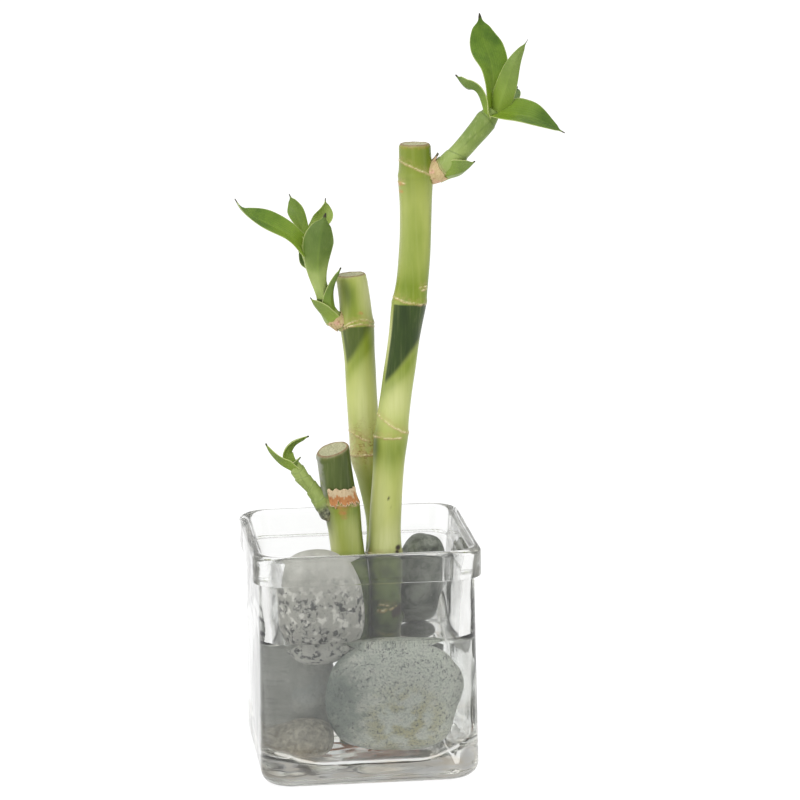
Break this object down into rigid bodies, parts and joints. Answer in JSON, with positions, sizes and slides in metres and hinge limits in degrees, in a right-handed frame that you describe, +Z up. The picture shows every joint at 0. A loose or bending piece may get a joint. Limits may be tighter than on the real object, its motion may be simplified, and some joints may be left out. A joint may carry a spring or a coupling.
{
  "type": "potted house plant",
  "caption": "Lucky bamboo: bare canes with leafy side shoots, standing in water among pebbles in a square glass vase.",
  "frame": {"origin": "middle of the vase's flat foot, where it rests", "axes": "+Z up along the canes, -Y out of the vase's front, +X to the right seen from the front"},
  "size_m": [0.1288, 0.09, 0.2984],
  "materials": {
    "glass": "clear pressed glass, fire polished",
    "water": "clear still water",
    "stone_pale": "pale granite pebble with dark speckle clusters",
    "stone_green": "wet green-grey pebble with fine dark specks",
    "stone_dark": "smooth dark grey river pebble",
    "stone_grey": "smooth mid grey river pebble",
    "stone_speckled": "brownish speckled pebble",
    "cane": "smooth living bark, pale yellow-green to dark green, tan rings at the nodes",
    "shoot": "soft green shoot with sheath rings",
    "leaf": "smooth fleshy leaf, mid green, pale edges and dark dry tips",
    "husk": "torn dry tan and orange sheath",
    "root": "orange-brown root"
  },
  "bodies": {
    "root": {"vase": "glass", "stone_granite": "stone_pale", "stone_green": "stone_green", "stone_dark": "stone_dark", "stone_grey": "stone_grey", "stone_speckled": "stone_speckled", "stone_small": "stone_dark", "cane_tall": "cane", "roots_tall": "root", "cane_middle": "cane", "roots_middle": "root", "cane_short": "cane", "roots_short": "root", "shoot_tall": "shoot", "husk_tall": "husk", "tall_leaf_upper": "leaf", "tall_leaf_right": "leaf", "tall_leaf_left": "leaf", "tall_leaf_low": "leaf", "tall_leaf_back": "leaf", "tall_bract": "leaf", "shoot_middle": "shoot", "husk_middle": "husk", "middle_leaf_long": "leaf", "middle_leaf_upright": "leaf", "middle_leaf_front": "leaf", "middle_leaf_back": "leaf", "middle_leaf_small": "leaf", "middle_bract_right": "leaf", "middle_bract_left": "leaf", "shoot_short": "shoot", "husk_short": "husk", "short_leaf_long": "leaf", "short_leaf_upright": "leaf", "short_bract": "leaf", "water": "water"}
  },
  "joints": []
}
